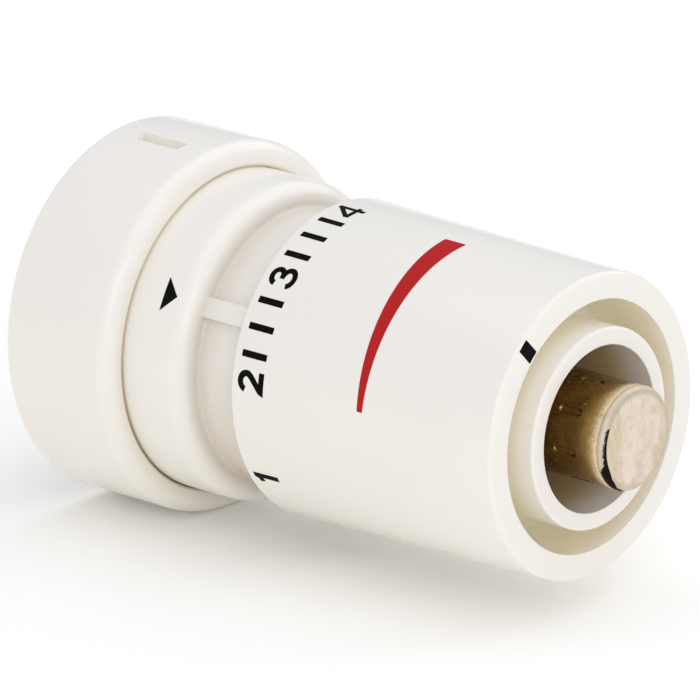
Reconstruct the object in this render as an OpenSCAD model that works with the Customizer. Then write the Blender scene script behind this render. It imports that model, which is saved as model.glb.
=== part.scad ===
// Thermostatic radiator head with a screw-on union, a turning handle and a liquid-filled sensor.
// The axis of the head is +X, from the valve to the front. Z is up. Sizes are in millimetres.
// The origin is the centre of the union thread's mouth.

/* [Union] */
// Radius of the smooth cover round the union nut
cover_r = 23.5; // [23:0.1:25]
// Length of the union cover along the axis
cover_len = 16.9; // [16.5:0.1:18]
// Rounding of the cover's front shoulder
cover_round = 1.95; // [0.6:0.05:2]
// Crest radius of the M30 x 1.5 union thread
thread_r = 14.19; // [14.1:0.01:14.3]
// Length of the union thread
thread_len = 8; // [7:0.5:8]
// Number of keys between the cover and the nut
key_count = 16; // [12:2:20]

/* [Base] */
// Radius of the fixed ring that carries the pointer
ring_r = 20.2; // [20:0.1:20.3]
// Distance from the origin to the end of the fixed ring's shoulder
ring_end = 25.4; // [24:0.1:27]
// Radius of the fixed ring's shoulder
ring_round = 2.46; // [1:0.02:2.6]
// Radius of the neck between the fixed ring and the handle
neck_r = 17; // [16.6:0.1:17]
// Width of the rib along the neck
rib_w = 2.6; // [2:0.1:3.2]

/* [Handle] */
// Radius of the handle at its rear edge
handle_rear_r = 19.85; // [19.8:0.05:20.2]
// Radius of the handle at its front rim
handle_front_r = 19; // [18.6:0.1:19.4]
// Distance from the origin to the handle's rear edge
handle_rear = 33.15; // [32:0.05:34]
// Length of the handle
handle_len = 40.2; // [39.5:0.1:41]
// Inner radius of the front rim
rim_in_r = 15.68; // [15.2:0.02:16]
// Depth of the groove in the front
groove_depth = 10.7; // [10.3:0.1:11]
// Outer radius of the tube round the sensor
tube_r = 12.5; // [12:0.1:13]
// Bore radius of the tube round the sensor
tube_bore_r = 10.33; // [10.2:0.01:10.5]
// How far the tube stands out of the front rim
tube_proud = 1.15; // [0.5:0.05:2]

/* [Sensor] */
// Radius of the sensor can
sensor_r = 6.47; // [6.3:0.01:6.5]
// How far the sensor stands out of the front rim
sensor_proud = 6.9; // [5:0.1:9]
// Radius of the thrust cup that pushes the valve's pin
cup_r = 4.5; // [4:0.1:4.5]
// Wire thickness of the overtravel spring
spring_wire = 1.1; // [0.9:0.1:1.2]
// Number of turns of the overtravel spring
spring_turns = 3.4; // [3:0.2:4]

/* [Hidden] */
$fn = 96;
RUN = 0.05;      // radial clearance of a running fit
SLIP = 0.15;     // clearance of parts keyed to each other
APART = 0.25;    // clearance of parts that pass without touching
WALL = 1.8;      // wall of the moulded parts
BEYOND = 1;      // how far a cutting tool reaches past what it cuts

// Angles are about +X, from +Y towards +Z.
pointer_angle = 151;
latch_angle = 99;
guide_angle = 91;

cover_back = -0.7;
cover_front = cover_back + cover_len;
cover_in_r = cover_r - 2.1;
key_w = 1.4;
nut_r = 18.5;
nut_front = 12.8;
nut_groove = [5.5, 9.5];
lip_back = 10.1;
relief_r = 14.6;
spigot_r = 12.5;
cavity_r = 9.5;
seat = thread_len;
flange_back = nut_front + 0.4;
ring_in_r = ring_r - WALL;
hub_end = 31;

neck_end = 38.4;
neck_in_r = neck_r - 2;
guide_r = 15.2;
guide_in_r = 13;
guide_end = 54.2;
guide_key_w = 3;
guide_keys = 3;

rim = handle_rear + handle_len;
groove_floor = rim - groove_depth;
skirt_back = 42;
skirt_r = neck_r;
shell_in_r = 18.3;
sleeve_floor = 57.8;
sleeve_web = 1.9;
rib_top = shell_in_r - 0.3;

// The rotation of the handle, from the setting shown at rest: closed and fully open.
turn_closed = -141;
turn_open = 95.3;
rib_half = 4.8;
stop_from = pointer_angle - turn_closed + rib_half;
stop_to = pointer_angle - turn_open + 360 - rib_half;

carrier_back = 43.2;
carrier_front = sleeve_floor - 0.2;
carrier_r = guide_in_r - 0.3;
carrier_in_r = 10.6;
snout_r = 8;
snout_end = 60.9;
flange_x = 45.3;
flange_t = 2.5;
flange_r = 10.3;
sensor_tip = rim + sensor_proud;
can_wall = 0.45;
washer_t = 0.6;
bellows_r = 4.9;
bellows_end = 64;
bellows_folds = 9;
pin_r = 1.6;
cup_back = 20.6;
cup_len = 6.4;

// Points of an arc in a profile, where each point is [radius, distance along the axis].
function arc(centre, r, from, to, steps = 8) =
    [for (i = [0:steps])
        let (a = from + (to - from) * i / steps)
        [centre[0] + r * cos(a), centre[1] + r * sin(a)]];

// A profile turned about the X axis.
module turned(points) {
    rotate([0, 90, 0]) rotate_extrude() polygon(points);
}

// A plain ring between two radii and two distances along the axis.
module ring(inner, outer, back, front) {
    turned([[inner, back], [outer, back], [outer, front], [inner, front]]);
}

// A block that lies along the axis at an angle, between two heights from the axis.
module bar(angle, back, front, low, high, width) {
    rotate([angle, 0, 0]) translate([back, low, -width / 2]) cube([front - back, high - low, width]);
}

// The part of a ring between two angles.
module ring_sector(inner, outer, back, front, from, to) {
    reach = outer * 2;
    middle = (from + to) / 2;
    corners = [for (i = [0:4])
        let (a = from + (to - from) * i / 4)
        [reach * cos(a), reach * sin(a)]];
    intersection() {
        ring(inner, outer, back, front);
        rotate([90, 0, 90]) translate([0, 0, back - BEYOND])
            linear_extrude(front - back + 2 * BEYOND) polygon(concat([[0, 0]], corners));
    }
}

// A split ring of spring wire or sheet, open at an angle.
module split_ring(inner, outer, back, front, angle, gap) {
    difference() {
        ring(inner, outer, back, front);
        bar(angle, back - BEYOND, front + BEYOND, inner / 2, outer + BEYOND, gap);
    }
}

// Union: the cover and its latch turn with the nut.
module cover_ring() color("ivory") {
    lip_r = ring_r + SLIP;
    difference() {
        union() {
            turned(concat(
                [[cover_in_r, cover_back], [cover_r - 1.2, cover_back]],
                arc([cover_r - 1.2, cover_back + 1.2], 1.2, -75, 0, 5),
                arc([cover_r - cover_round, cover_front - cover_round], cover_round, 0, 90),
                arc([lip_r + 0.6, cover_front - 0.6], 0.6, 90, 180, 5),
                [[lip_r, cover_front - 2], [cover_in_r, cover_front - 2.6]]));
            for (i = [0:key_count - 1])
                bar(latch_angle + (i + 0.5) * 360 / key_count, 0.3, nut_front - 0.2,
                    nut_r - 0.5, cover_in_r + 0.5, key_w);
        }
        bar(latch_angle, 3.95, 11.05, cover_in_r - BEYOND, cover_r + BEYOND, 1.9);
    }
}

module cover_latch() color("ivory") {
    plate_top = cover_in_r - 0.25;
    bar(latch_angle, 3.3, 11.7, nut_r + 0.2, plate_top, 4);
    bar(latch_angle, 4.1, 10.9, plate_top - 0.1, cover_r - 1.6, 1.6);
    bar(latch_angle, nut_groove[0] + SLIP, nut_groove[1] - SLIP, nut_r - 0.6, nut_r + 0.3, 4);
}

module union_nut() color("silver") {
    difference() {
        turned([[thread_r + 0.6, cover_back + 0.1], [nut_r - 0.6, cover_back + 0.1], [nut_r, 0],
                [nut_r, nut_groove[0]], [nut_r - 0.8, nut_groove[0]],
                [nut_r - 0.8, nut_groove[1]], [nut_r, nut_groove[1]],
                [nut_r, nut_front - 0.5], [nut_r - 0.5, nut_front], [spigot_r + RUN, nut_front],
                [spigot_r + RUN, lip_back], [relief_r, lip_back], [relief_r, thread_len],
                [thread_r, thread_len], [thread_r, 0]]);
        for (i = [0:key_count - 1])
            bar(latch_angle + (i + 0.5) * 360 / key_count, cover_back - BEYOND, nut_front + BEYOND,
                nut_r - 0.7, nut_r + BEYOND, key_w + 2 * SLIP);
    }
}

module nut_snap_ring() color("gray")
    split_ring(spigot_r - 0.55, thread_r - 0.3, seat + 0.8, lip_back - 0.1, 270, 3);

// Base: the socket closes the back of the pointer sleeve and guides the thrust cup.
module base_socket() color("white") {
    groove_r = spigot_r - 0.6;
    plug_r = ring_in_r - RUN;
    bore_r = cup_r + RUN;
    front = flange_back + 2;
    turned([[cavity_r + 0.5, seat], [spigot_r, seat], [spigot_r, seat + 0.7], [groove_r, seat + 0.7],
            [groove_r, lip_back], [spigot_r, lip_back], [spigot_r, flange_back],
            [plug_r, flange_back], [plug_r, front + 3], [plug_r - 1.5, front + 3],
            [plug_r - 1.5, front], [cavity_r + 1.5, front], [cavity_r, front + 2],
            [bore_r + WALL, front + 2], [bore_r + WALL, hub_end], [bore_r, hub_end],
            [bore_r, front + 0.5], [bore_r + 0.5, front], [cavity_r, front], [cavity_r, seat + 0.5]]);
}

module pointer_sleeve() color("ivory") {
    union() {
        turned(concat(
            [[ring_in_r, flange_back], [ring_r, flange_back]],
            arc([ring_r - ring_round, ring_end - ring_round], ring_round, 0, 90),
            arc([neck_r + 0.6, ring_end + 0.6], 0.6, -90, -180, 5),
            [[neck_r, neck_end], [guide_r, neck_end],
             [guide_r, guide_end - 0.5], [guide_r - 0.5, guide_end], [guide_in_r, guide_end],
             [guide_in_r, neck_end - 2], [neck_in_r, neck_end - 2], [neck_in_r, ring_end - 2],
             [ring_in_r, ring_end - 2]]));
        bar(pointer_angle, ring_end - 1, neck_end - 0.4, neck_r - 0.5, rib_top, rib_w);
        for (i = [0:guide_keys - 1])
            bar(guide_angle + i * 360 / guide_keys, neck_end - 1, guide_end - 1,
                guide_in_r - 1.1, guide_in_r + 0.5, guide_key_w);
    }
}

// Handle: the shell, its threaded sleeve and its stops turn together and move along the axis.
module handle_shell() color("ivory") {
    web_back = groove_floor - 2.6;
    inner_r = shell_in_r - 0.3;
    rib_back = skirt_back - BEYOND;
    turned(concat(
        [[shell_in_r, handle_rear]],
        arc([handle_rear_r - 0.4, handle_rear + 0.4], 0.4, -90, 0, 4),
        arc([handle_front_r - 0.6, rim - 0.6], 0.6, 0, 90, 5),
        arc([rim_in_r + 0.12, rim - 0.12], 0.12, 90, 180, 3),
        [[rim_in_r - 0.18, groove_floor], [tube_r + RUN, groove_floor], [tube_r + RUN, web_back],
         [inner_r, web_back], [inner_r, rib_back], [shell_in_r, rib_back]]));
    for (i = [0:11])
        bar(i * 30, skirt_back, web_back + 0.5, skirt_r + RUN, inner_r + 0.4, 1.4);
}

module threaded_sleeve() color("ivory") {
    bore_r = guide_r + RUN;
    web_front = sleeve_floor + sleeve_web;
    tube_end = rim + tube_proud;
    turned(concat(
        [[bore_r + 0.4, skirt_back], [skirt_r, skirt_back], [skirt_r, web_front],
         [tube_r, web_front]],
        arc([tube_r - 0.4, tube_end - 0.4], 0.4, 0, 90, 4),
        arc([tube_bore_r + 0.12, tube_end - 0.12], 0.12, 90, 180, 3),
        [[tube_bore_r, web_front], [snout_r + RUN, web_front], [snout_r + RUN, sleeve_floor],
         [bore_r, sleeve_floor], [bore_r, skirt_back + 0.4]]));
}

module stop_ring() color("lightgray")
    ring_sector(neck_r + APART, shell_in_r - RUN, 34, 38, stop_from, stop_to);

module limit_clip(angle, tint) color(tint)
    ring_sector(neck_r + APART, shell_in_r - RUN, 38.2, 40.6, angle - 8, angle + 8);

module limit_clip_low() limit_clip(stop_from + 20, "royalblue");

module limit_clip_high() limit_clip(stop_to - 20, "firebrick");

// Carriage: moves along the axis with the handle, but the guide's keys stop it turning.
module sensor_carrier() color("gainsboro") {
    wall = carrier_front - 2;
    circlip_groove = snout_r - 0.6;
    difference() {
        turned([[carrier_in_r, carrier_back], [carrier_r, carrier_back], [carrier_r, carrier_front],
                [snout_r, carrier_front], [snout_r, 59.75], [circlip_groove, 59.75],
                [circlip_groove, 60.55], [snout_r, 60.55], [snout_r, snout_end],
                [sensor_r + 0.08, snout_end], [sensor_r + 0.08, wall], [carrier_in_r, wall],
                [carrier_in_r, flange_x - 0.1], [carrier_in_r + 0.6, flange_x - 0.1],
                [carrier_in_r + 0.6, flange_x - 1.2], [carrier_in_r, flange_x - 1.2]]);
        for (i = [0:guide_keys - 1])
            bar(guide_angle + i * 360 / guide_keys, carrier_back - BEYOND, carrier_front + BEYOND,
                guide_in_r - 1.3, guide_in_r + BEYOND, guide_key_w + 2 * SLIP);
    }
}

module carrier_circlip() color("gray")
    split_ring(snout_r - 0.55, snout_r + 1.3, 59.8, 60.5, 90, 4);

module sensor_snap_ring() color("gray")
    split_ring(carrier_in_r - 1.4, carrier_in_r + 0.55, flange_x - 1.15, flange_x - 0.15, 270, 5);

module spring_washer() color("silver")
    ring(sensor_r + 0.4, carrier_in_r - 0.2, carrier_front - 2 - washer_t, carrier_front - 2);

// A round wire wound along X, made of rings of points joined into a closed skin.
module coil(mean_r, wire_r, back, front, turns) {
    sides = 8;
    steps = round(turns * 28);
    points = [for (i = [0:steps])
        let (a = 360 * turns * i / steps, x = back + wire_r + (front - back - 2 * wire_r) * i / steps)
        for (j = [0:sides - 1])
            let (b = 360 * j / sides, r = mean_r + wire_r * cos(b))
            [x + wire_r * sin(b), r * cos(a), r * sin(a)]];
    skin = [for (i = [0:steps - 1]) for (j = [0:sides - 1])
        let (k = (j + 1) % sides)
        [i * sides + j, i * sides + k, (i + 1) * sides + k, (i + 1) * sides + j]];
    ends = [[for (j = [0:sides - 1]) sides - 1 - j], [for (j = [0:sides - 1]) steps * sides + j]];
    polyhedron(points, concat(skin, ends));
}

module overtravel_spring() color("gray")
    coil((sensor_r + carrier_in_r) / 2 + 0.1, spring_wire / 2, flange_x + flange_t + RUN,
         carrier_front - 2 - washer_t - RUN, spring_turns);

// Sensor: a can of liquid round a bellows. Heat pushes the pin out of the back.
module sensor_can() color("tan") {
    back = flange_x + flange_t - 0.8;
    turned(concat(
        [[sensor_r - can_wall, back], [sensor_r, back]],
        arc([sensor_r - 0.8, sensor_tip - 0.8], 0.8, 0, 90, 6),
        [[0, sensor_tip], [0, sensor_tip - can_wall],
         [sensor_r - 0.9, sensor_tip - can_wall], [sensor_r - can_wall, sensor_tip - 0.9]]));
}

module sensor_flange() color("goldenrod") {
    front = flange_x + flange_t;
    slot = front - 0.8;
    difference() {
        turned([[pin_r + 0.3, flange_x], [flange_r - 0.3, flange_x], [flange_r, flange_x + 0.3],
                [flange_r, front], [sensor_r + RUN, front], [sensor_r + RUN, slot],
                [sensor_r - can_wall - RUN, slot], [sensor_r - can_wall - RUN, front],
                [pin_r + 0.3, front]]);
        translate([flange_x - BEYOND, 0, 5.2]) rotate([0, 90, 0]) cylinder(r = 0.6, h = flange_t + 2 * BEYOND);
    }
}

module fill_plug() color("darkgoldenrod")
    translate([flange_x - 0.2, 0, 5.2]) rotate([0, 90, 0]) cylinder(r = 0.58, h = flange_t);

module bellows() color("khaki") {
    back = flange_x + flange_t + 0.1;
    pitch = (bellows_end - back) / bellows_folds;
    low = bellows_r - 1.5;
    wall = 0.25;
    outer = [for (i = [0:bellows_folds - 1]) for (s = [[0, 0.1], [1, 0.35], [1, 0.65], [0, 0.9]])
        [low + s[0] * (bellows_r - low), back + (i + s[1]) * pitch]];
    inner = [for (i = [len(outer) - 1:-1:0]) [outer[i][0] - wall, outer[i][1]]];
    turned(concat([[low, back]], outer, [[low, bellows_end], [low - wall, bellows_end]],
                  inner, [[low - wall, back]]));
}

module bellows_plug() color("khaki")
    turned([[0, bellows_end + 0.1], [bellows_r - 1.4, bellows_end + 0.1],
            [bellows_r - 1.4, bellows_end + 1.1], [bellows_r - 2, bellows_end + 1.7],
            [0, bellows_end + 1.7]]);

module piston_pin() color("silver")
    turned([[0, cup_back + 3.2], [pin_r, cup_back + 3.2], [pin_r, bellows_end], [0, bellows_end]]);

module thrust_cup() color("white")
    turned([[0, cup_back + 0.6], [1.8, cup_back + 0.6], [2.4, cup_back], [cup_r - 0.5, cup_back],
            [cup_r, cup_back + 0.5], [cup_r, cup_back + cup_len], [pin_r + 0.05, cup_back + cup_len],
            [pin_r + 0.05, cup_back + 3], [0, cup_back + 3]]);

cover_ring();
cover_latch();
union_nut();
nut_snap_ring();
base_socket();
pointer_sleeve();
handle_shell();
threaded_sleeve();
stop_ring();
limit_clip_low();
limit_clip_high();
sensor_carrier();
carrier_circlip();
sensor_snap_ring();
spring_washer();
overtravel_spring();
sensor_can();
sensor_flange();
fill_plug();
bellows();
bellows_plug();
piston_pin();
thrust_cup();
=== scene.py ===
"""Thermostatic radiator head: the looks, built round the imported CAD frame. Lengths are in metres."""
import math

import bmesh
import bpy
from mathutils import Matrix, Vector


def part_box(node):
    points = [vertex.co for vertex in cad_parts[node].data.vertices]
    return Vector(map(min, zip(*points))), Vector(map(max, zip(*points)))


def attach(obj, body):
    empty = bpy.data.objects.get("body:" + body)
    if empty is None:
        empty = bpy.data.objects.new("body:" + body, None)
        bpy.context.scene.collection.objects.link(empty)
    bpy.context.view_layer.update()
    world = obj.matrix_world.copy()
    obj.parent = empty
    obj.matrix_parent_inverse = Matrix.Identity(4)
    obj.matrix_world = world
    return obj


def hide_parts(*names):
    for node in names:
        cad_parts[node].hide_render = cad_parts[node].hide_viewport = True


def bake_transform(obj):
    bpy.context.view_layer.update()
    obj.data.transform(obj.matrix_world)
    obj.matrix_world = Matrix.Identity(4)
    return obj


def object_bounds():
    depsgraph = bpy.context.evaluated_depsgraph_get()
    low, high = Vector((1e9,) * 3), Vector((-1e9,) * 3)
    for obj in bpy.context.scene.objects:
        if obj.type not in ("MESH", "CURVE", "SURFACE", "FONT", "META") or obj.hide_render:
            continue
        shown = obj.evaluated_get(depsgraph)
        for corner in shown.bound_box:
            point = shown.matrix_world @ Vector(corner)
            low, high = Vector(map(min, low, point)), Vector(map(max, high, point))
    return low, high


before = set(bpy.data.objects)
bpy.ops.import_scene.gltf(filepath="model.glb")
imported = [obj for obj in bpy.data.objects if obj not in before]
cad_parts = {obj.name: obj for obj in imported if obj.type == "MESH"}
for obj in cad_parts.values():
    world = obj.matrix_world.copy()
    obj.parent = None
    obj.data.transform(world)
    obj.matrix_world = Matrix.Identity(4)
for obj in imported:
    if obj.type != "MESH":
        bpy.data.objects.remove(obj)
CAD_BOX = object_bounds()

MM = 0.001
TAU = 2 * math.pi


# ---------------------------------------------------------------- places taken from the frame
def span(node):
    """Back and front of a node along the axis, and its largest radius, in millimetres."""
    low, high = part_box(node)
    return low.x / MM, high.x / MM, high.y / MM


COVER_BACK, COVER_FRONT, COVER_R = span("cover_ring")
NUT_BACK, NUT_FRONT, NUT_R = span("union_nut")
POINTER_BACK, GUIDE_END, RING_R = span("pointer_sleeve")
HANDLE_REAR, RIM, HANDLE_REAR_R = span("handle_shell")
SKIRT_BACK, TUBE_END, NECK_R = span("threaded_sleeve")
CAN_BACK, SENSOR_TIP, SENSOR_R = span("sensor_can")
SPRING_BACK, SPRING_FRONT, SPRING_R = span("overtravel_spring")
BELLOWS_BACK, BELLOWS_END, BELLOWS_R = span("bellows")

# Sizes the boxes can't give, the same as in part.scad.
HANDLE_FRONT_R = 19.0
RIM_IN_R = 15.68
GROOVE_DEPTH = 10.7
TUBE_R = 12.5
TUBE_BORE_R = 10.33
SHELL_IN_R = 18.3
RING_END = POINTER_BACK + 12.2
RING_ROUND = 2.46
NECK_END = RING_END + 13
GUIDE_R = 15.2
LEAD = 8.0
STARTS = 4
THREAD_R = 14.19
THREAD_PITCH = 1.5
SENSOR_ROUND = 0.8

# Angles are about +X, from +Y towards +Z. The handle's numbers run the other way.
POINTER_ANGLE = 150.9
LATCH_ANGLE = 99.0
STEP = 39.2
THREE_ANGLE = 133.9
MARK_ANGLE = 145.0
KEYS = 16
RIBS = 12
SLOTS = 8
KEY_TURNS = [math.radians(LATCH_ANGLE) + (k + 0.5) * TAU / KEYS for k in range(KEYS)]


# ---------------------------------------------------------------- mesh building
def rounded(corners, steps=6):
    """A closed outline from corners (x, r, rounding), with each rounding made as an arc."""
    outline = []
    count = len(corners)
    for i, (x, r, size) in enumerate(corners):
        here = Vector((x, r))
        if size <= 0:
            outline.append((x, r))
            continue
        to_last = (Vector(corners[i - 1][:2]) - here)
        to_next = (Vector(corners[(i + 1) % count][:2]) - here)
        half = to_last.angle(to_next) / 2
        reach = min(size / math.tan(half), to_last.length * 0.98, to_next.length * 0.98)
        radius = reach * math.tan(half)
        start = here + to_last.normalized() * reach
        end = here + to_next.normalized() * reach
        middle = here + (to_last.normalized() + to_next.normalized()).normalized() * (radius / math.sin(half))
        a, b = start - middle, end - middle
        turn = a.angle_signed(b)
        for k in range(steps + 1):
            t = turn * k / steps
            p = middle + Matrix.Rotation(-t, 2) @ a
            outline.append((p.x, p.y))
    return outline


def finer(outline, longest, low=-1e9, high=1e9):
    """The outline with its long straight runs split, between two places along the axis."""
    result = []
    for i, (x, r) in enumerate(outline):
        x2, r2 = outline[(i + 1) % len(outline)]
        result.append((x, r))
        length = math.hypot(x2 - x, r2 - r)
        if low <= min(x, x2) and max(x, x2) <= high and length > longest:
            parts = math.ceil(length / longest)
            result += [(x + (x2 - x) * k / parts, r + (r2 - r) * k / parts) for k in range(1, parts)]
    return result


def loose(name, bm):
    """An object that isn't a piece yet, such as a tool to cut with."""
    mesh = bpy.data.meshes.new(name)
    bm.to_mesh(mesh)
    bm.free()
    piece = bpy.data.objects.new(name, mesh)
    bpy.context.scene.collection.objects.link(piece)
    return piece


def make_object(name, bm, body, sharp=32):
    """Turns bm into a smooth-shaded piece that rides on a body, if one is named."""
    bmesh.ops.remove_doubles(bm, verts=bm.verts, dist=1e-7)
    bmesh.ops.recalc_face_normals(bm, faces=bm.faces)
    mesh = bpy.data.meshes.new(name)
    bm.to_mesh(mesh)
    bm.free()
    mesh.shade_smooth()
    mesh.set_sharp_from_angle(angle=math.radians(sharp))
    piece = bpy.data.objects.new(name, mesh)
    bpy.context.scene.collection.objects.link(piece)
    if body:
        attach(piece, body)
    return piece


def turned(outline, segments=256, shape=None, angles=None):
    """A mesh made by turning a closed outline (x, r) about the X axis. shape(x, r, angle) gives the
    radius where it isn't round."""
    bm = bmesh.new()
    angles = angles or [TAU * k / segments for k in range(segments)]
    rings = []
    for x, r in outline:
        if r < 1e-6:
            rings.append([bm.verts.new((x * MM, 0, 0))])
            continue
        ring = []
        for a in angles:
            radius = shape(x, r, a) if shape else r
            ring.append(bm.verts.new((x * MM, radius * math.cos(a) * MM, radius * math.sin(a) * MM)))
        rings.append(ring)
    n = len(angles)
    for i, ring in enumerate(rings):
        other = rings[(i + 1) % len(rings)]
        if len(ring) == 1 and len(other) == 1:
            continue
        for k in range(n):
            m = (k + 1) % n
            if len(ring) == 1:
                bm.faces.new((ring[0], other[k], other[m]))
            elif len(other) == 1:
                bm.faces.new((ring[k], other[0], ring[m]))
            else:
                bm.faces.new((ring[k], other[k], other[m], ring[m]))
    return bm


def angle_gap(a, b):
    """The smallest turn from b to a, in radians."""
    return (a - b + math.pi) % TAU - math.pi


def with_even_turns(edges, count):
    """The angles of a mesh's edges in order, with evenly spaced ones between them."""
    return sorted([a % TAU for a in edges] + [TAU * k / count for k in range(count)])


def bump(distance, half, edge):
    """1 inside half of a rib's width, falling to 0 over its sloping edge."""
    return min(1.0, max(0.0, (half + edge - abs(distance)) / edge))


def thread_wave(phase):
    """The profile of a thread over one turn, from 0 at the root to 1 at the crest."""
    t = phase % 1.0
    return min(1.0, max(0.0, 3.2 * min(t, 1 - t) - 0.3))


# ---------------------------------------------------------------- camera, light and floor
VIEW_AZIMUTH = 40.95
VIEW_ELEVATION = 18.51
VIEW_DISTANCE = 1149.6 * MM
LENS_SHARE = 13.757143  # the lens length over the width of the sensor
DAYLIGHT = (0.98, 1.0, 1.06)


def make_camera():
    """A long lens from the front right, a little above."""
    a, e = math.radians(VIEW_AZIMUTH), math.radians(VIEW_ELEVATION)
    back = Vector((math.sin(a) * math.cos(e), -math.cos(a) * math.cos(e), math.sin(e)))
    aim = Vector((49.6 * MM, -16.75 * MM, 8.73 * MM))
    data = bpy.data.cameras.new("camera")
    data.sensor_width = 36
    data.lens = data.sensor_width * LENS_SHARE
    data.clip_end = 20
    camera = bpy.data.objects.new("camera", data)
    camera.location = aim + back * VIEW_DISTANCE
    camera.rotation_euler = back.to_track_quat("Z", "Y").to_euler()
    bpy.context.scene.collection.objects.link(camera)
    bpy.context.scene.camera = camera


def make_light(name, place, aim, size, power, colour):
    data = bpy.data.lights.new(name, "AREA")
    data.shape = "DISK"
    data.size = size
    data.energy = power
    data.color = colour
    light = bpy.data.objects.new(name, data)
    light.location = place
    light.rotation_euler = (Vector(place) - Vector(aim)).to_track_quat("Z", "Y").to_euler()
    bpy.context.scene.collection.objects.link(light)


def make_stage():
    """Plain pale floor, even pale surroundings and five large soft lights."""
    scene = bpy.context.scene
    scene.view_settings.view_transform = "Standard"
    world = bpy.data.worlds.new("surroundings")
    world.use_nodes = True
    world.node_tree.nodes["Background"].inputs["Color"].default_value = (*DAYLIGHT, 1)
    world.node_tree.nodes["Background"].inputs["Strength"].default_value = 0.56
    scene.world = world
    bm = bmesh.new()
    bmesh.ops.create_grid(bm, x_segments=1, y_segments=1, size=3)
    mesh = bpy.data.meshes.new("floor")
    bm.to_mesh(mesh)
    bm.free()
    floor = bpy.data.objects.new("floor", mesh)
    floor.location = (0, 0, CAD_BOX[0].z - 0.02 * MM)
    scene.collection.objects.link(floor)
    paint = bpy.data.materials.new("floor")
    paint.use_nodes = True
    shader = paint.node_tree.nodes["Principled BSDF"]
    shader.inputs["Base Color"].default_value = (1.0, 0.985, 0.945, 1)
    shader.inputs["Roughness"].default_value = 1.0
    shader.inputs["Specular IOR Level"].default_value = 0.0
    shader.inputs["Emission Color"].default_value = (1.0, 0.995, 0.97, 1)
    shader.inputs["Emission Strength"].default_value = 0.06
    floor.data.materials.append(paint)
    middle = (0.04, 0, 0)
    for name, place, size, power in (
        ("camera_side", (0.75, -0.85, 0.45), 0.9, 2.85),
        ("front", (1.1, -0.1, 0.4), 0.8, 0.7),
        ("top", (0.1, -0.1, 1.1), 1.6, 4.4),
        ("left", (-0.8, -0.6, 0.15), 0.8, 0.25),
        ("back", (0.3, 0.9, 0.7), 1.2, 3.3),
    ):
        make_light(name, place, middle, size, power, DAYLIGHT)


# ---------------------------------------------------------------- materials
class Nodes:
    """Short calls for building a material's nodes."""

    def __init__(self, name):
        self.material = bpy.data.materials.new(name)
        self.material.use_nodes = True
        self.tree = self.material.node_tree
        self.shader = self.tree.nodes["Principled BSDF"]
        self.place = self.add("ShaderNodeTexCoord").outputs["Object"]
        split = self.add("ShaderNodeSeparateXYZ")
        self.link(self.place, split.inputs[0])
        self.x, self.y, self.z = split.outputs

    def add(self, kind, **values):
        node = self.tree.nodes.new(kind)
        for key, value in values.items():
            setattr(node, key, value)
        return node

    def link(self, source, target):
        self.tree.links.new(source, target)

    def stretched(self, x=1.0, y=1.0, z=1.0):
        mapping = self.add("ShaderNodeMapping")
        mapping.inputs["Scale"].default_value = (x, y, z)
        self.link(self.place, mapping.inputs["Vector"])
        return mapping.outputs["Vector"]

    def noise(self, scale, detail=3.0, roughness=0.5, vector=None):
        node = self.add("ShaderNodeTexNoise")
        node.inputs["Scale"].default_value = scale
        node.inputs["Detail"].default_value = detail
        node.inputs["Roughness"].default_value = roughness
        self.link(vector or self.place, node.inputs["Vector"])
        return node.outputs["Fac"]

    def ramp(self, value, low, high, out_low=0.0, out_high=1.0):
        node = self.add("ShaderNodeMapRange")
        for key, number in zip(("From Min", "From Max", "To Min", "To Max"), (low, high, out_low, out_high)):
            node.inputs[key].default_value = number
        self.link(value, node.inputs["Value"])
        return node.outputs["Result"]

    def mix(self, factor, first, second):
        node = self.add("ShaderNodeMix", data_type="RGBA")
        for socket, value in ((node.inputs[0], factor), (node.inputs[6], first), (node.inputs[7], second)):
            if isinstance(value, tuple):
                socket.default_value = (*value, 1)
            elif isinstance(value, float):
                socket.default_value = value
            else:
                self.link(value, socket)
        return node.outputs[2]

    def math(self, operation, first, second=None, third=None):
        node = self.add("ShaderNodeMath", operation=operation)
        for socket, value in zip(node.inputs, (first, second, third)):
            if value is None:
                continue
            if isinstance(value, (int, float)):
                socket.default_value = value
            else:
                self.link(value, socket)
        return node.outputs[0]

    def radius(self):
        """Distance from the axis."""
        squares = [self.math("MULTIPLY", v, v) for v in (self.y, self.z)]
        return self.math("SQRT", self.math("ADD", *squares))

    def turn(self):
        """Angle about the axis in degrees, from 0 to 360."""
        angle = self.math("ADD", self.math("ARCTAN2", self.z, self.y), TAU)
        return self.math("MULTIPLY", self.math("MODULO", angle, TAU), 360 / TAU)

    def curve(self, value, low, high, stops):
        """A smooth curve over low..high through stops (place, number from 0 to 1)."""
        node = self.add("ShaderNodeValToRGB")
        node.color_ramp.interpolation = "EASE"
        points = node.color_ramp.elements
        while len(points) < len(stops):
            points.new(0.5)
        for point, (place, number) in zip(points, stops):
            point.position = (place - low) / (high - low)
            point.color = (number, number, number, 1)
        self.link(self.ramp(value, low, high), node.inputs["Fac"])
        return self.math("MULTIPLY", node.outputs["Color"], 1.0)

    def bump(self, height, distance, strength=1.0):
        node = self.add("ShaderNodeBump")
        node.inputs["Distance"].default_value = distance
        node.inputs["Strength"].default_value = strength
        self.link(height, node.inputs["Height"])
        self.link(node.outputs["Normal"], self.shader.inputs["Normal"])

    def set(self, **values):
        for key, value in values.items():
            socket = self.shader.inputs[key.replace("_", " ")]
            if isinstance(value, (int, float)):
                socket.default_value = value
            elif isinstance(value, tuple):
                socket.default_value = (*value, 1)
            else:
                self.link(value, socket)


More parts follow.
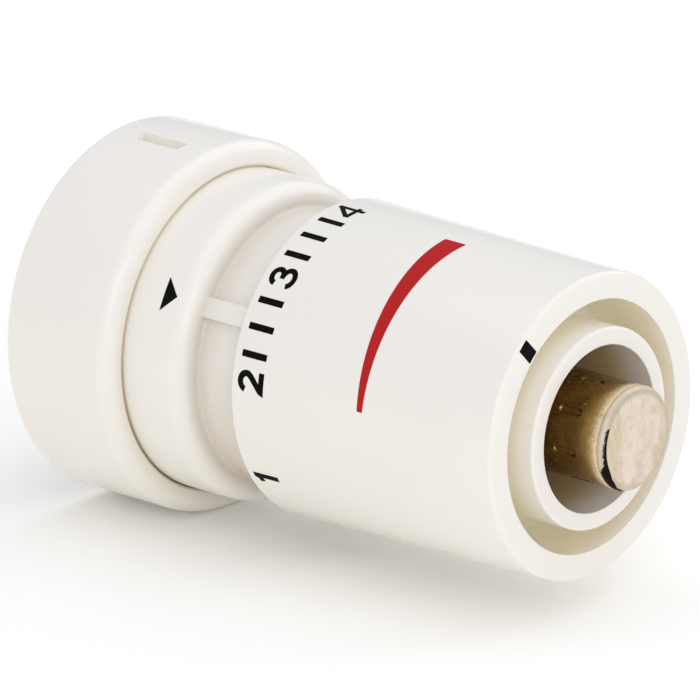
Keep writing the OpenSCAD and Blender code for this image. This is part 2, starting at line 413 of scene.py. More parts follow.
def plastic(name, colour, rough_low=0.16, rough_high=0.24, grain=2e-6, shade=None):
    """Moulded plastic: a faint drift of colour, a very fine skin and uneven gloss. shade(n, base)
    gives the colour where it isn't the same all over."""
    n = Nodes(name)
    drift = n.ramp(n.noise(45.0, 2.0), 0.35, 0.65)
    base = n.mix(drift, colour, tuple(c * 0.985 for c in colour))
    n.set(Base_Color=shade(n, base) if shade else base)
    n.set(Roughness=n.ramp(n.noise(120.0, 3.0), 0.3, 0.7, rough_low, rough_high))
    n.set(IOR=1.5)
    n.bump(n.noise(2500.0, 2.0, 0.5), grain, 0.5)
    return n.material


def cover_shade(n, base):
    """Painted light on the walls round the latch's window, which are paler; dust and painted shade in the gap
    round the fixed ring, with a painted glow; painted shade on the lip beside the gap.
    """
    r = n.radius()
    # Painted light: paler walls inside the cover, round the latch's window.
    window = n.ramp(r, (COVER_R - 0.03) * MM, (COVER_R - 0.1) * MM)
    window = n.math("MULTIPLY", window, n.ramp(n.x, (COVER_FRONT - 4) * MM, (COVER_FRONT - 4.1) * MM))
    front = n.ramp(n.x, (COVER_FRONT - 2.8) * MM, (COVER_FRONT - 2.6) * MM)
    gap = n.math("MULTIPLY", front, n.ramp(r, (RING_R + 0.55) * MM, (RING_R + 0.1) * MM, 0.0, 0.8))
    # Painted glow in the gap, stronger towards the top.
    painted_glow(n, n.math("MULTIPLY", gap, n.ramp(n.z, -8 * MM, 16 * MM, 0.1, 1.0)), 0.2)
    # Painted shade on the lip beside the gap, fading out towards the top.
    lip = n.math("MULTIPLY", n.ramp(r, (RING_R + 1.8) * MM, (RING_R + 0.2) * MM, 0.0, 0.7),
                 n.math("MULTIPLY", front, n.ramp(n.z, 20 * MM, 6 * MM)))
    base = n.mix(lip, n.mix(window, base, (0.99, 0.95, 0.87)), (0.80, 0.72, 0.59))
    # The gap's brown is dust and painted shade.
    return n.mix(gap, base, (0.60, 0.50, 0.34))


def handle_shade(n, base):
    """The walls of the front groove are painted warmer than the outside, as painted warm light,
    and get a painted glow that stands in for some light reaching them through the wall."""
    walls = n.ramp(n.radius(), (RIM_IN_R + 0.1) * MM, (RIM_IN_R + 0.04) * MM)
    walls = n.math("MULTIPLY", walls, n.ramp(n.x, (RIM - 0.1) * MM, (RIM - 1.6) * MM))
    deep = n.ramp(n.x, (RIM - 2) * MM, (RIM - 9) * MM)
    # Painted glow on the deeper groove walls; their warm colour is painted light.
    painted_glow(n, n.math("MULTIPLY", walls, deep))
    return n.mix(walls, base, n.mix(deep, (0.90, 0.815, 0.635), GROOVE_PAINTED_LIGHT))


def painted_glow(n, where, strength=0.05):
    """A painted glow: emission that stands in for a little light coming through a thin wall."""
    n.set(Emission_Color=(0.82, 0.86, 0.74))
    n.set(Emission_Strength=n.math("MULTIPLY", where, strength))


def tube_shade(n, base):
    """Painted warm light and a painted glow outside where it stands in the groove, and painted shade that
    gets browner and browner down the bore.
    """
    r = n.radius()
    outside = n.math("MULTIPLY", n.ramp(r, (TUBE_R - 0.1) * MM, (TUBE_R - 0.04) * MM),
                     n.ramp(n.x, (TUBE_END - 0.5) * MM, (TUBE_END - 5) * MM))
    bore = n.math("MULTIPLY", n.ramp(r, (TUBE_BORE_R + 0.1) * MM, (TUBE_BORE_R + 0.04) * MM),
                  n.ramp(n.x, (TUBE_END - 2) * MM, (TUBE_END - 6.5) * MM))
    # Painted glow and painted warm light on the outside in the groove; painted shade down the bore.
    painted_glow(n, outside)
    return n.mix(bore, n.mix(outside, base, GROOVE_PAINTED_LIGHT), (0.78, 0.60, 0.33))


def neck_shade(n, base):
    """The neck between the ring and the handle gets painted shade, most of all in its corner and below,
    and the gap under the cover's lip has dust and painted shade, with a painted glow."""
    r = n.radius()
    # Painted shade on the neck, more in its corner by the ring and on its lower side.
    neck = n.ramp(r, (RING_R - 0.9) * MM, (NECK_R + 0.2) * MM)
    corner = n.ramp(n.x, (RING_END + 3.5) * MM, (RING_END + 0.2) * MM)
    below = n.ramp(n.z, 4.5 * MM, -10 * MM)
    neck_painted_shade = n.mix(n.math("MAXIMUM", corner, below), (0.835, 0.785, 0.70), (0.725, 0.66, 0.56))
    gap = n.ramp(n.x, (COVER_FRONT + 0.12) * MM, (COVER_FRONT - 0.1) * MM, 0.0, 0.8)
    # Painted glow in the gap under the cover's lip, stronger towards the top; its brown is dust and painted
    # shade.
    painted_glow(n, n.math("MULTIPLY", gap, n.ramp(n.z, -8 * MM, 16 * MM, 0.1, 1.0)), 0.2)
    return n.mix(gap, n.mix(neck, base, neck_painted_shade), (0.60, 0.50, 0.34))


def metal(name, colour, stain, rough_low=0.22, rough_high=0.42, along=1.0):
    """Turned metal: fine tool marks round the axis, tarnish and uneven gloss."""
    n = Nodes(name)
    tarnish = n.ramp(n.noise(260.0, 6.0, 0.65), 0.42, 0.68)
    n.set(Base_Color=n.mix(tarnish, colour, stain))
    n.set(Metallic=1.0)
    n.set(Roughness=n.ramp(n.noise(500.0, 5.0), 0.3, 0.7, rough_low, rough_high))
    marks = n.noise(600.0, 2.0, 0.5, n.stretched(12.0 * along, 0.6, 0.6))
    n.bump(marks, 5e-6, 0.5)
    return n.material


def ink(name, colour):
    """Printed ink: thin and even, with little gloss."""
    n = Nodes(name)
    cover = n.ramp(n.noise(2600.0, 3.0), 0.35, 0.75)
    n.set(Base_Color=n.mix(cover, colour, tuple(c * 0.85 + 0.004 for c in colour)))
    n.set(Roughness=n.ramp(n.noise(1500.0, 2.0), 0.3, 0.7, 0.38, 0.55))
    n.set(Specular_IOR_Level=0.03)
    n.bump(n.noise(3000.0, 2.0), 2e-6, 0.4)
    return n.material


def sensor_metal(name):
    """The can: brown and grainy along its side, with painted glints and a painted pale-gold reflection near
    its end, a pale stained end face, and a torn dark band on the lower part of the end's rounded edge."""
    n = Nodes(name)
    tip, edge = SENSOR_TIP - SENSOR_ROUND, SENSOR_R - SENSOR_ROUND
    r, turn = n.radius(), n.turn()
    end = n.ramp(n.x, (tip - 0.02) * MM, (tip + 0.06) * MM)

    patches = n.ramp(n.noise(330.0, 5.0, 0.6), 0.40, 0.66)
    side = n.mix(patches, (0.37, 0.235, 0.075), (0.27, 0.155, 0.04))
    ragged = n.math("MULTIPLY", n.math("ADD", n.noise(4000.0, 5.0, 0.8), -0.5), 2.0 * MM)
    # Painted reflection: the side turns paler gold towards the end, with a ragged edge.
    painted_end_reflection = n.ramp(n.math("ADD", n.x, ragged), (tip - 1.8) * MM, (tip - 0.4) * MM)
    side = n.mix(n.math("POWER", painted_end_reflection, 1.8), side, (0.91, 0.77, 0.54))
    # Painted glints: pale specks on the side.
    sparks = n.ramp(n.noise(2100.0, 2.0, 0.6), 0.735, 0.76)
    side = n.mix(sparks, side, (0.95, 0.90, 0.82))
    line = n.math("ADD", n.x, n.math("MULTIPLY", n.math("ADD", n.noise(900.0, 4.0), -0.5), 0.2 * MM))
    side = n.mix(n.ramp(line, (tip - 0.16) * MM, (tip - 0.1) * MM, 0.0, 0.65), side, (0.30, 0.20, 0.09))

    streaks = n.ramp(n.noise(240.0, 5.0, 0.65, n.stretched(1.0, 1.7, 0.75)), 0.45, 0.60)
    face = n.mix(streaks, (0.82, 0.725, 0.615), (0.68, 0.58, 0.39))
    blush = n.ramp(n.noise(520.0, 4.0, 0.6), 0.52, 0.66)
    face = n.mix(n.math("MULTIPLY", blush, 0.6), face, (0.66, 0.53, 0.45))
    mottle = n.ramp(n.noise(1800.0, 4.0, 0.7), 0.35, 0.65, 0.0, 0.3)
    face = n.mix(mottle, face, (0.92, 0.83, 0.72))
    rim = n.ramp(r, (edge - 0.4) * MM, (edge + 0.1) * MM, 0.0, 0.7)
    face = n.mix(rim, face, (0.60, 0.52, 0.39))
    specks = n.ramp(n.noise(3200.0, 2.0), 0.68, 0.76)
    face = n.mix(n.math("MULTIPLY", specks, 0.45), face, (0.26, 0.18, 0.09))

    # The dark band lies across the rounding: over is how far over it, as an angle from the flat.
    over = n.math("ARCTAN2", n.math("ADD", r, -edge * MM), n.math("ADD", n.x, -tip * MM))
    torn = n.math("MULTIPLY", n.math("ADD", n.noise(5500.0, 5.0, 0.8), -0.5), 2.4)
    reach = n.curve(turn, 140, 280, [(151, 0), (157, 0.36), (196, 0.45), (206, 1.0), (264, 1.0), (278, 0.7)])
    start = n.curve(turn, 140, 280, [(150, 0), (207, 0), (226, 0.25), (240, 0.5), (276, 0.95)])
    outer = n.math("LESS_THAN", over, n.math("ADD", n.math("MULTIPLY", reach, 1.6), torn))
    inner = n.math("GREATER_THAN", over, n.math("MULTIPLY", start, n.math("ADD", torn, 1.6)))
    on_edge = n.math("MULTIPLY", n.math("GREATER_THAN", r, (edge + 0.01) * MM),
                     n.math("GREATER_THAN", n.x, tip * MM))
    ends = n.math("MULTIPLY", n.math("GREATER_THAN", turn, 152), n.math("LESS_THAN", turn, 278))
    dark_band = n.math("MULTIPLY", n.math("MULTIPLY", outer, inner), n.math("MULTIPLY", on_edge, ends))

    n.set(Base_Color=n.mix(dark_band, n.mix(end, side, face), (0.008, 0.005, 0.004)))
    n.set(Metallic=n.math("SUBTRACT", 1.0, dark_band))
    n.set(Specular_IOR_Level=n.ramp(dark_band, 0.0, 1.0, 0.5, 0.05))
    gloss = n.ramp(n.noise(900.0, 5.0), 0.3, 0.7, 0.0, 0.14)
    n.set(Roughness=n.math("ADD", gloss, n.ramp(end, 0.0, 1.0, 0.20, 0.5)))
    n.bump(n.noise(5200.0, 4.0, 0.7), 1.2e-5, 0.6)
    return n.material


# Painted warm light for the groove walls and the tube's outside.
GROOVE_PAINTED_LIGHT = (1.0, 0.93, 0.76)
CREAM = (0.90, 0.86, 0.78)
WHITE = plastic("white_gloss_plastic", CREAM)
COVER_WHITE = plastic("cover_gloss_plastic", CREAM, shade=cover_shade)
HANDLE_WHITE = plastic("handle_gloss_plastic", CREAM, shade=handle_shade)
TUBE_WHITE = plastic("tube_gloss_plastic", CREAM, shade=tube_shade)
NECK_WHITE = plastic("neck_gloss_plastic", CREAM, shade=neck_shade)
WHITE_MATT = plastic("white_acetal", (0.84, 0.82, 0.77), 0.4, 0.55)
GREY = plastic("grey_nylon", (0.24, 0.25, 0.26), 0.45, 0.6, 8e-6)
BLUE = plastic("blue_clip", (0.03, 0.09, 0.42), 0.35, 0.5)
RED = plastic("red_clip", (0.5, 0.02, 0.015), 0.35, 0.5)
NICKEL = metal("nickel_plate", (0.66, 0.62, 0.55), (0.5, 0.44, 0.36))
STEEL = metal("spring_steel", (0.42, 0.42, 0.43), (0.3, 0.29, 0.28))
SENSOR = sensor_metal("sensor_metal_stained_painted_sheen")
# A dark material for the slots' end walls towards the tip: painted shadow.
SLOT_END_SHADOW = metal("sensor_slot_end_painted_shadow", (0.10, 0.06, 0.02), (0.05, 0.03, 0.01), 0.4, 0.6)
BRASS = metal("brass", (0.78, 0.56, 0.24), (0.6, 0.4, 0.16))
BRONZE = metal("bellows_bronze", (0.72, 0.46, 0.24), (0.5, 0.3, 0.14))
BLACK_INK = ink("black_ink", (0.004, 0.003, 0.003))
RED_INK = ink("red_ink", (0.5, 0.02, 0.02))

CAD_PAINT = {
    "base_socket": WHITE_MATT, "cover_latch": WHITE, "nut_snap_ring": STEEL, "stop_ring": GREY,
    "limit_clip_low": BLUE, "limit_clip_high": RED, "sensor_carrier": GREY, "carrier_circlip": STEEL,
    "sensor_snap_ring": STEEL, "spring_washer": STEEL, "sensor_flange": BRASS, "fill_plug": BRASS,
    "bellows_plug": BRASS, "piston_pin": STEEL, "thrust_cup": WHITE_MATT, "overtravel_spring": STEEL,
    "bellows": BRONZE,
}


def paint_cad():
    for name, material in CAD_PAINT.items():
        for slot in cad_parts[name].material_slots:
            slot.material = material


# ---------------------------------------------------------------- pieces
def stand_for(piece, node, material):
    piece.data.materials.append(material)
    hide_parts(node)
    return piece


def make_cover():
    """Cover of the union: rounded shoulder, keys inside, and a window for its latch."""
    inner = COVER_R - 2.1
    lip = RING_R + 0.08
    corners = [
        (COVER_BACK, inner, 0.3), (COVER_BACK, COVER_R, 1.2), (COVER_FRONT, COVER_R, 1.95),
        (COVER_FRONT, lip, 0.6), (COVER_FRONT - 2, lip, 0.1), (COVER_FRONT - 2.6, inner, 0.6),
        (NUT_FRONT - 0.2, inner, 0), (NUT_FRONT - 0.35, inner, 0), (0.45, inner, 0), (0.3, inner, 0),
    ]

    def shape(x, r, a):
        if r > inner + 0.01 or not 0.4 < x < NUT_FRONT - 0.3:
            return r
        near = min(abs(angle_gap(a, key)) for key in KEY_TURNS)
        return r - bump(near * 20, 0.62, 0.12) * (inner - NUT_R + 0.5)

    edges = [key + side * w / 20 for key in KEY_TURNS for side in (-1, 1) for w in (0.62, 0.74)]
    angles = with_even_turns(edges, 256)
    bm = turned(rounded(corners, 8), shape=shape, angles=angles)
    piece = make_object("union_cover", bm, "union")
    window = cutter("window", LATCH_ANGLE, 3.95, 11.05, inner - 1, COVER_R + 1, 1.9)
    cut(piece, window)
    return stand_for(piece, "cover_ring", COVER_WHITE)


def cutter(name, angle, back, front, low, high, width):
    """A block that lies along the axis, to cut with."""
    bm = bmesh.new()
    bmesh.ops.create_cube(bm, size=1)
    size = Matrix.Diagonal((front - back, high - low, width, 1))
    place = Matrix.Translation(((back + front) / 2, (low + high) / 2, 0))
    turn = Matrix.Rotation(math.radians(angle), 4, "X")
    bm.transform(Matrix.Scale(MM, 4) @ turn @ place @ size)
    return loose(name, bm)


def cut(piece, tool, operation="DIFFERENCE"):
    """Cuts the tool out of the piece, or joins it on, and removes the tool."""
    change = piece.modifiers.new("cut", "BOOLEAN")
    change.operation = operation
    change.solver = "EXACT"
    change.object = tool
    bpy.context.view_layer.update()
    graph = bpy.context.evaluated_depsgraph_get()
    result = bpy.data.meshes.new_from_object(piece.evaluated_get(graph))
    piece.modifiers.clear()
    piece.data = result
    result.shade_smooth()
    result.set_sharp_from_angle(angle=math.radians(32))
    bpy.data.objects.remove(tool)


def make_nut():
    """Union nut: a true M30 x 1.5 thread inside, key grooves and a latch groove outside."""
    lip = 12.55
    thread_top = 8.0
    corners = [
        (NUT_BACK, THREAD_R + 0.6, 0), (NUT_BACK, NUT_R - 0.6, 0), (0, NUT_R, 0), (5.5, NUT_R, 0.1),
        (5.5, NUT_R - 0.8, 0.15), (9.5, NUT_R - 0.8, 0.15), (9.5, NUT_R, 0.1),
        (NUT_FRONT, NUT_R, 0.5), (NUT_FRONT, lip, 0.2), (10.1, lip, 0.1), (10.1, 14.6, 0.2),
        (thread_top + 0.6, 14.6, 0.2), (thread_top, THREAD_R, 0), (0.0, THREAD_R, 0),
    ]

    def shape(x, r, a):
        if r > NUT_R - 0.9:
            near = min(abs(angle_gap(a, key)) for key in KEY_TURNS)
            return r - bump(near * NUT_R, 0.82, 0.12) * max(0, r - NUT_R + 0.75)
        if r < THREAD_R + 0.02 and 0 <= x <= thread_top:
            fade = min(1, x / 0.8, (thread_top - x) / 0.8)
            return r + 0.8 * (1 - thread_wave(x / THREAD_PITCH - a / TAU)) * max(0, fade)
        return r

    edges = [key + side * w / NUT_R for key in KEY_TURNS for side in (-1, 1) for w in (0.82, 0.94)]
    angles = with_even_turns(edges, 192)
    outline = rounded(corners, 4)
    fine = []
    for i, (x, r) in enumerate(outline):
        fine.append((x, r))
        x2, r2 = outline[(i + 1) % len(outline)]
        if abs(r - THREAD_R) < 0.01 and abs(r2 - THREAD_R) < 0.01:
            fine += [(x + (x2 - x) * k / 86, r) for k in range(1, 86)]
    piece = make_object("nut", turned(fine, shape=shape, angles=angles), "union", 40)
    return stand_for(piece, "union_nut", NICKEL)


def make_pointer_sleeve():
    """Fixed ring, neck with its rib, and the long-lead thread that lifts the handle."""
    rib = math.radians(POINTER_ANGLE)
    rib_top = SHELL_IN_R - 0.3
    play, depth = 0.1, 0.55
    root = GUIDE_R - play - depth
    thread_end = GUIDE_END - 0.7
    corners = [
        (POINTER_BACK, RING_R - 1.8, 0.2), (POINTER_BACK, RING_R, 0.3), (RING_END, RING_R, RING_ROUND),
        (RING_END, NECK_R, 0.6), (NECK_END, NECK_R, 0.3), (NECK_END, GUIDE_R, 0.2),
        (thread_end, GUIDE_R, 0), (thread_end, root, 0), (GUIDE_END, root, 0.3),
        (GUIDE_END, 13.0, 0.3), (NECK_END - 2, 13.0, 0.2),
        (NECK_END - 2, NECK_R - 2, 0.4), (RING_END - 2, NECK_R - 2, 0.2),
        (RING_END - 2, RING_R - 1.8, 0.4),
    ]
    outline = finer(rounded(corners, 8), 0.22, NECK_END - 0.1, GUIDE_END + 0.1)
    outline = finer(outline, 0.5, RING_END - 1.5, NECK_END - 0.2)

    def shape(x, r, a):
        if r > NECK_R - 0.5 and RING_END - 1.2 < x < NECK_END - 0.4:
            side = abs(angle_gap(a, rib)) * NECK_R
            return max(r, r + bump(side, 1.2, 0.12) * (rib_top - r))
        if x >= thread_end and r > root:
            return root
        if GUIDE_R - 0.05 < r < GUIDE_R + 0.01 and x > NECK_END + 0.3:
            start = max(0, min(1, x - NECK_END - 0.3))
            crest = max(0, min(1, thread_end - x))
            wave = crest * thread_wave((x - LEAD * a / TAU) * STARTS / LEAD)
            return r - (play + depth * (1 - wave)) * start
        return r

    edges = [rib + side * w / NECK_R for side in (-1, 1) for w in (1.2, 1.32)]
    angles = with_even_turns(edges, 256)
    piece = make_object("pointer_ring_and_neck", turned(outline, shape=shape, angles=angles), "base", 30)
    return stand_for(piece, "pointer_sleeve", NECK_WHITE)


def handle_radius(x):
    """Outer radius of the tapered handle."""
    share = (x - HANDLE_REAR) / (RIM - HANDLE_REAR)
    return HANDLE_REAR_R + (HANDLE_FRONT_R - HANDLE_REAR_R) * share


def make_handle():
    """Handle shell: tapered outside, deep groove in the front, ribs inside."""
    floor = RIM - GROOVE_DEPTH
    web = floor - 2.6
    inner = SHELL_IN_R - 0.3
    corners = [
        (HANDLE_REAR, SHELL_IN_R, 0.15), (HANDLE_REAR, HANDLE_REAR_R, 0.45),
        (RIM, HANDLE_FRONT_R, 0.6), (RIM, RIM_IN_R, 0.12), (floor, RIM_IN_R - 0.18, 0.4),
        (floor, TUBE_R + 0.05, 0.15), (web, TUBE_R + 0.05, 0.1), (web, inner, 0.4),
        (web - 0.3, inner, 0), (SKIRT_BACK + 0.2, inner, 0), (SKIRT_BACK, inner, 0),
        (SKIRT_BACK - 1, inner, 0), (SKIRT_BACK - 1, SHELL_IN_R, 0),
    ]

    def shape(x, r, a):
        if abs(r - inner) < 0.01 and SKIRT_BACK + 0.1 < x < web - 0.1:
            near = angle_gap(a * RIBS, 0) / RIBS
            return r - bump(abs(near) * inner, 0.6, 0.1) * (inner - NECK_R - 0.05)
        return r

    ribs = [TAU * k / RIBS for k in range(RIBS)]
    edges = [rib + side * w / inner for rib in ribs for side in (-1, 1) for w in (0.6, 0.7)]
    angles = with_even_turns(edges, 256)
    outline = rounded(corners, 8)
    piece = make_object("handle", turned(outline, shape=shape, angles=angles), "handle")
    return stand_for(piece, "handle_shell", HANDLE_WHITE)


def make_threaded_sleeve():
    """Sleeve in the handle: the tube seen round the sensor, and the skirt with its thread."""
    web = 59.7
    floor = web - 1.9
    bore = GUIDE_R + 0.05
    corners = [
        (SKIRT_BACK, bore, 0.4), (SKIRT_BACK, NECK_R, 0.3), (web, NECK_R, 0.3), (web, TUBE_R, 0.2),
        (TUBE_END, TUBE_R, 0.4), (TUBE_END, TUBE_BORE_R, 0.12), (web, TUBE_BORE_R, 0.3),
        (web, 8.05, 0.15), (floor, 8.05, 0.1), (floor, bore, 0.3),
    ]
    outline = finer(rounded(corners, 8), 0.24, SKIRT_BACK, floor)

    def shape(x, r, a):
        if abs(r - bore) < 0.02 and SKIRT_BACK + 0.4 < x < floor - 0.3:
            fade = min(1, (x - SKIRT_BACK - 0.4) / 1, (floor - 0.3 - x) / 1)
            return r - 0.5 * (1 - thread_wave((x - LEAD * a / TAU) * STARTS / LEAD)) * max(0, fade)
        return r

    piece = make_object("sensor_tube", turned(outline, shape=shape), "handle")
    return stand_for(piece, "threaded_sleeve", TUBE_WHITE)


def make_sensor():
    """Sensor can: drawn metal with a rounded end and eight pressed slots round its side."""
    place, half, radius = SENSOR_TIP - 5.9, 1.2, 0.5
    corners = [
        (CAN_BACK, SENSOR_R - 0.45, 0), (CAN_BACK, SENSOR_R, 0.1), (place - 2, SENSOR_R, 0),
        (place + 2, SENSOR_R, 0), (SENSOR_TIP, SENSOR_R, SENSOR_ROUND),
        (SENSOR_TIP, 3.2, 0), (SENSOR_TIP - 0.04, 2.4, 0), (SENSOR_TIP - 0.04, 0, 0),
        (SENSOR_TIP - 0.45, 0, 0), (SENSOR_TIP - 0.45, SENSOR_R - 0.45, 0.5),
    ]
    outline = finer(rounded(corners, 10), 0.1, place - 2.1, place + 2.1)

    def from_slot(x, a):
        """Distance from the nearest slot's middle line."""
        across = angle_gap(a * SLOTS, math.radians(MARK_ANGLE * SLOTS)) / SLOTS * SENSOR_R
        return math.hypot(max(0.0, abs(x - place) - half), across)

    def shape(x, r, a):
        if r < SENSOR_R - 0.01 or abs(x - place) > half + radius:
            return r
        away = from_slot(x, a)
        return r - 0.2 * min(1.0, max(0.0, (radius - away) / 0.22))

    piece = make_object("sensor", turned(outline, 640, shape), "sensor", 30)
    stand_for(piece, "sensor_can", SENSOR)
    # The slots' end walls towards the tip take the dark material: painted shadow.
    piece.data.materials.append(SLOT_END_SHADOW)
    for face in piece.data.polygons:
        x, y, z = face.center / MM
        if x < place or math.hypot(y, z) < SENSOR_R - 0.3:
            continue
        if radius - 0.24 < from_slot(x, math.atan2(z, y)) < radius and x > place + half - 0.3:
            face.material_index = 1
    return piece


def make_spring():
    """Overtravel spring: a round wire with its ends ground flat."""
    wire, turns, sides, steps = 0.55, 3.4, 16, 400
    mean = SPRING_R - wire
    bm = bmesh.new()
    rings = []
    for i in range(steps + 1):
        t = TAU * turns * i / steps
        x = SPRING_BACK + wire + (SPRING_FRONT - SPRING_BACK - 2 * wire) * i / steps
        ring = []
        for j in range(sides):
            b = TAU * j / sides
            r = mean + wire * math.cos(b)
            at = min(max(x + wire * math.sin(b), SPRING_BACK + 0.1), SPRING_FRONT - 0.1)
            ring.append(bm.verts.new((at * MM, r * math.cos(t) * MM, r * math.sin(t) * MM)))
        rings.append(ring)
    for one, two in zip(rings, rings[1:]):
        for j in range(sides):
            k = (j + 1) % sides
            bm.faces.new((one[j], one[k], two[k], two[j]))
    bm.faces.new(rings[0][::-1])
    bm.faces.new(rings[-1])
    piece = make_object("sensor_spring", bm, None, 50)
    stand_for(piece, "overtravel_spring", STEEL)
    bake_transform(piece)


def make_bellows():
    """Bellows: thin bronze with round folds. Its back end is fixed."""
    folds, wall, low = 9, 0.22, BELLOWS_R - 1.5
    pitch = (BELLOWS_END - BELLOWS_BACK) / folds
    steps = folds * 16
    outer = []
    for i in range(steps + 1):
        x = BELLOWS_BACK + (BELLOWS_END - BELLOWS_BACK) * i / steps
        wave = 0.5 - 0.5 * math.cos(TAU * (x - BELLOWS_BACK) / pitch)
        outer.append((x, low + (BELLOWS_R - low) * min(1.0, max(0.0, 1.35 * wave - 0.17))))
    outline = outer + [(x, r - wall) for x, r in reversed(outer)]
    piece = make_object("sensor_bellows", turned(outline, 128), None, 50)
    stand_for(piece, "bellows", BRONZE)
    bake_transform(piece)


# ---------------------------------------------------------------- printed marks
INK_HEIGHT = 0.03
INK_DEPTH = 0.1


def arc(cx, cy, rx, ry, start, end, steps=14):
    """Points along an ellipse, between two angles in degrees."""
    turns = [math.radians(start + (end - start) * k / steps) for k in range(steps + 1)]
    return [(cx + rx * math.cos(t), cy + ry * math.sin(t)) for t in turns]


# Stroke width of each sign and its strokes, 4 mm high, with u to the right and v up.
SIGNS = {
    "0": (0.74, [arc(0, 2, 1.0, 1.62, 90, 450, 32)]),
    "1": (0.78, [[(0.3, 0.1), (0.3, 3.95)], [(-0.75, 2.95), (-0.1, 3.1), (0.3, 3.75)]]),
    "2": (0.8, [arc(0.05, 2.78, 1.0, 0.88, 168, -22, 16)
                + [(0.7, 2.05), (-0.85, 0.62), (-0.9, 0.48), (1.45, 0.48)]]),
    "3": (0.72, [arc(0, 2.85, 0.95, 0.8, 178, -62, 16) + [(-0.2, 2.12)],
                 [(-0.2, 2.12), (0.1, 2.12)] + arc(0.02, 1.22, 1.1, 0.88, 62, -172, 18)]),
    "4": (0.6, [[(0.6, 0.1), (0.6, 4)], [(0.72, 3.85), (-1.5, 1.3)], [(-1.62, 1.2), (1.35, 1.2)]]),
    "5": (0.74, [[(1.1, 3.6), (-0.72, 3.6), (-0.95, 2.1)] + arc(0, 1.35, 1.05, 0.98, 125, -160, 18)]),
    "frost": (0.6, [[(0, 0.1), (0, 3.9)], [(-1.55, 1.1), (1.55, 2.9)], [(-1.55, 2.9), (1.55, 1.1)]]),
}


def ribbon(points, width):
    """A flat strip of a width along a line of points, as a closed outline."""
    left, right = [], []
    for i, p in enumerate(points):
        p = Vector(p)
        before = (p - Vector(points[i - 1])).normalized() if i else None
        after = (Vector(points[i + 1]) - p).normalized() if i < len(points) - 1 else None
        along = (before or after) + (after or before)
        side = Vector((-along.y, along.x)).normalized()
        straight = Vector((-(after or before).y, (after or before).x))
        side *= width / 2 / max(0.5, side.dot(straight))
        left.append(p + side)
        right.append(p - side)
    return left + right[::-1]


def flat_solid(outline, low, high):
    """A closed plate with the outline, between two heights."""
    bm = bmesh.new()
    bottom = [bm.verts.new((u, v, low)) for u, v in outline]
    top = [bm.verts.new((u, v, high)) for u, v in outline]
    bm.faces.new(bottom[::-1])
    bm.faces.new(top)
    for k in range(len(outline)):
        m = (k + 1) % len(outline)
        bm.faces.new((bottom[k], bottom[m], top[m], top[k]))
    return bm


def plate_of(name, outlines):
    """One plate from overlapping outlines, joined cleanly and cut into narrow strips to bend."""
    parts = [loose(f"{name}_{k}", flat_solid(o, -INK_DEPTH, INK_HEIGHT)) for k, o in enumerate(outlines)]
    for other in parts[1:]:
        cut(parts[0], other, "UNION")
    bm = bmesh.new()
    bm.from_mesh(parts[0].data)
    bpy.data.objects.remove(parts[0])
    low = min(v.co.x for v in bm.verts)
    high = max(v.co.x for v in bm.verts)
    strips = max(2, math.ceil((high - low) / 0.4))
    for k in range(1, strips):
        where = low + (high - low) * k / strips
        everything = bm.verts[:] + bm.edges[:] + bm.faces[:]
        bmesh.ops.bisect_plane(bm, geom=everything, plane_co=(where, 0, 0), plane_no=(1, 0, 0), dist=1e-5)
    return bm


def wrap(bm, angle, foot, radius_at):
    """Bends a plate round the axis: u runs back round it, v runs back along it from foot."""
    centre = math.radians(angle)
    for v in bm.verts:
        across, up, height = v.co
        x = foot - up
        r = radius_at(x)
        turn = centre - across / r
        v.co = Vector((x, (r + height) * math.cos(turn), (r + height) * math.sin(turn))) * MM


def print_mark(name, outlines, angle, foot, body, material, radius_at):
    bm = plate_of(name, outlines)
    wrap(bm, angle, foot, radius_at)
    piece = make_object(name, bm, body, 40)
    piece.data.materials.append(material)
    return piece


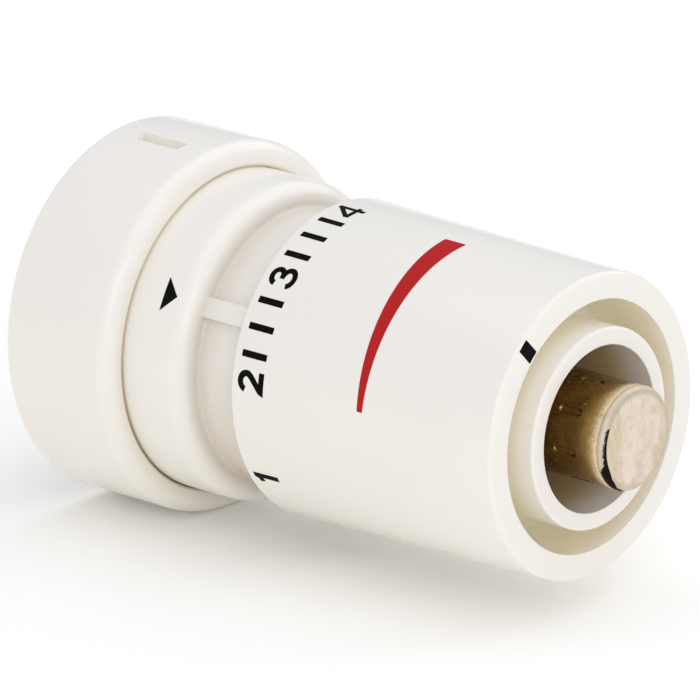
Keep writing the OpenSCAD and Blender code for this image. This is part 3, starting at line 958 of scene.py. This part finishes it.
def make_dial():
    """Numbers 0 to 5, a frost sign, and ticks in the range that is used most."""
    foot = HANDLE_REAR + 5.2
    places = {str(k): THREE_ANGLE - (k - 3) * STEP for k in range(1, 6)}
    places["frost"] = places["1"] + 49
    places["0"] = places["frost"] + 30.6
    for sign, angle in places.items():
        stroke, lines = SIGNS[sign]
        outlines = [ribbon(line, stroke) for line in lines]
        print_mark(f"dial_{sign}", outlines, angle, foot, "handle", BLACK_INK, handle_radius)
    tick = rounded([(-0.42, 0.1, 0.1), (-0.42, 3.9, 0.1), (0.42, 3.9, 0.1), (0.42, 0.1, 0.1)], 3)
    for first in (2, 3):
        for k in (1, 2, 3):
            angle = THREE_ANGLE - (first + k / 4 - 3) * STEP
            print_mark(f"tick_{first}_{k}", [tick], angle, foot, "handle", BLACK_INK, handle_radius)


def make_pointer():
    """Black triangle on the fixed ring, pointing at the dial."""
    triangle = [(-2.14, 2.08), (0, 0), (2.14, 2.08)]
    print_mark("pointer", [triangle], POINTER_ANGLE, RING_END - 2.67, "base", BLACK_INK, lambda x: RING_R)


def make_warmth_wedge():
    """One plain red wedge round the handle, widening from setting 2 to setting 4. It lies halfway
    along the handle."""
    middle = (HANDLE_REAR + RIM) / 2
    reach = math.radians(STEP) * handle_radius(middle)
    narrow, wide, corner = 0.4, 1.6, 0.15
    outline = rounded([(-reach, -narrow, corner), (-reach, narrow, corner),
                       (reach, wide, corner), (reach, -wide, corner)], 3)
    print_mark("warmth_wedge", [outline], THREE_ANGLE, middle, "handle", RED_INK, handle_radius)


def make_rim_mark():
    """Black block on the flat of the rim, in line with the 3."""
    bm = bmesh.new()
    bmesh.ops.create_grid(bm, x_segments=8, y_segments=8, size=0.5)
    centre = math.radians(THREE_ANGLE)
    inner, outer, width, edge = RIM_IN_R + 0.35, HANDLE_FRONT_R - 0.3, 1.72, 0.6
    faces = bmesh.ops.extrude_face_region(bm, geom=bm.faces[:])["geom"]
    for item in faces:
        if isinstance(item, bmesh.types.BMVert):
            item.co.z = 1
    for v in bm.verts:
        r = inner + (v.co.x + 0.5) * (outer - inner)
        over = max(0.0, r - (HANDLE_FRONT_R - edge))
        drop = edge - math.sqrt(max(0.0, edge * edge - over * over))
        x = RIM - drop + (INK_HEIGHT if v.co.z > 0.5 else -INK_DEPTH)
        turn = centre + v.co.y * width / r
        v.co = Vector((x, r * math.cos(turn), r * math.sin(turn))) * MM
    piece = make_object("rim_mark", bm, "handle", 40)
    piece.data.materials.append(BLACK_INK)


make_camera()
make_stage()
paint_cad()
make_cover()
make_nut()
make_pointer_sleeve()
make_handle()
make_threaded_sleeve()
make_sensor()
make_spring()
make_bellows()
make_dial()
make_pointer()
make_warmth_wedge()
make_rim_mark()
